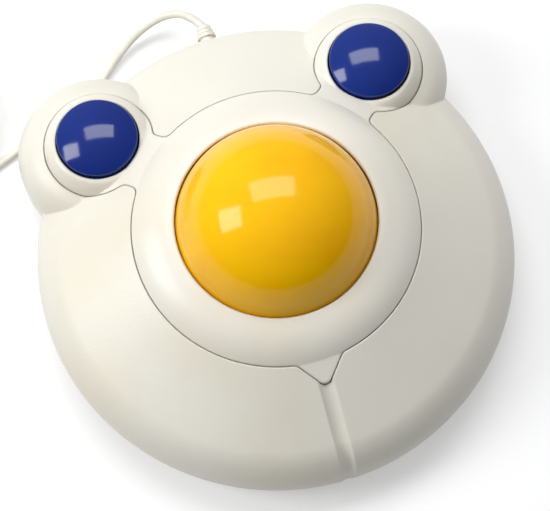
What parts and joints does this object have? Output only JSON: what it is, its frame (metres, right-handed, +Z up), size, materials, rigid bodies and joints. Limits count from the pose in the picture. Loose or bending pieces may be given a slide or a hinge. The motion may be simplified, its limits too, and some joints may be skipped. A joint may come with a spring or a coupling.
{
  "type": "large trackball controller",
  "caption": "Large trackball with a three-inch yellow ball in a raised ring, two big blue round buttons in ears, an off-white domed casing and a cord",
  "frame": {"origin": "on the resting surface, under the centre of the ball, at the middle of the casing", "axes": "+Z up; +Y to the back, where the buttons and the cord are; +X to the right of the user"},
  "size_m": [0.2446, 0.2536, 0.0858],
  "materials": {
    "shell_plastic": "off-white semi-matte plastic",
    "ball_resin": "glossy yellow resin",
    "cap_plastic": "glossy blue plastic",
    "inner_plastic": "grey moulded plastic",
    "black_plastic": "black plastic",
    "connector_plastic": "cream plastic",
    "cord_jacket": "cream cord jacket",
    "relief_rubber": "cream flexible moulding",
    "rubber": "dark grey rubber",
    "roller_rubber": "black roller sleeve",
    "steel": "steel",
    "board": "green board"
  },
  "bodies": {
    "housing": {"top_shell": "shell_plastic", "base_pan": "shell_plastic", "bezel": "shell_plastic", "ball_cup": "inner_plastic", "bearing_bracket": "inner_plastic", "bearing_pin": "steel", "main_board": "board", "board_screws": "steel", "controller_chip": "black_plastic", "cable_socket": "connector_plastic", "inner_lead": "cord_jacket", "rubber_feet": "rubber", "case_screws": "steel", "strain_relief": "relief_rubber", "cable_tube": "cord_jacket", "cable_coil": "cord_jacket", "cable_tail": "cord_jacket", "plug_grip": "connector_plastic", "plug_shell": "steel", "plug_tongue": "black_plastic", "shaft_brackets_front": "inner_plastic", "shaft_brackets_side": "inner_plastic", "light_emitter_front": "black_plastic", "light_emitter_side": "black_plastic", "light_sensor_front": "black_plastic", "light_sensor_side": "black_plastic", "switch_carrier_left": "inner_plastic", "switch_carrier_right": "inner_plastic", "switch_body_left": "black_plastic", "switch_body_right": "black_plastic"},
    "ball": {"ball": "ball_resin"},
    "encoder_front": {"encoder_shaft_front": "steel", "roller_front": "roller_rubber", "encoder_wheel_front": "black_plastic"},
    "encoder_side": {"encoder_shaft_side": "steel", "roller_side": "roller_rubber", "encoder_wheel_side": "black_plastic"},
    "idler": {"bearing_wheel": "steel"},
    "button_left": {"button_cap_left": "cap_plastic", "button_spring_left": "steel"},
    "lever_left": {"switch_lever_left": "steel"},
    "button_right": {"button_cap_right": "cap_plastic", "button_spring_right": "steel"},
    "lever_right": {"switch_lever_right": "steel"}
  },
  "joints": [
    {"name": "ball_roll", "type": "hinge", "parent": "housing", "child": "ball", "pos_m": [0, 0, 0.0477], "axis": [1, 0, 0], "continuous": true},
    {"name": "encoder_front_spin", "type": "hinge", "parent": "housing", "child": "encoder_front", "pos_m": [0, -0.0321, 0.02077], "axis": [1, 0, 0], "continuous": true},
    {"name": "encoder_side_spin", "type": "hinge", "parent": "housing", "child": "encoder_side", "pos_m": [0.0321, 0, 0.02077], "axis": [0, 1, 0], "continuous": true},
    {"name": "idler_spin", "type": "hinge", "parent": "housing", "child": "idler", "pos_m": [-0.02351, 0.02351, 0.0198], "axis": [-0.7071, -0.7071, 0], "continuous": true},
    {"name": "button_left_press", "type": "slide", "parent": "housing", "child": "button_left", "axis": [0, 0, -1], "range_m": [0, 0.002], "stiffness_N_per_m": 350, "springref_m": -0.0008, "deforming": ["button_spring_left"]},
    {"name": "lever_left_turn", "type": "hinge", "parent": "housing", "child": "lever_left", "pos_m": [-0.04723, 0.04723, 0.0238], "axis": [-0.7071, -0.7071, 0], "range_deg": [0, 12.71]},
    {"name": "button_right_press", "type": "slide", "parent": "housing", "child": "button_right", "axis": [0, 0, -1], "range_m": [0, 0.002], "stiffness_N_per_m": 350, "springref_m": -0.0008, "deforming": ["button_spring_right"]},
    {"name": "lever_right_turn", "type": "hinge", "parent": "housing", "child": "lever_right", "pos_m": [0.04723, 0.04723, 0.0238], "axis": [-0.7071, 0.7071, 0], "range_deg": [0, 12.71]}
  ],
  "couplings": [
    {"joint": "encoder_front_spin", "follows": "ball_roll", "ratio": -10.886},
    {"joint": "lever_left_turn", "follows": "button_left_press", "rad_per_m": 110},
    {"joint": "lever_right_turn", "follows": "button_right_press", "rad_per_m": 110}
  ]
}
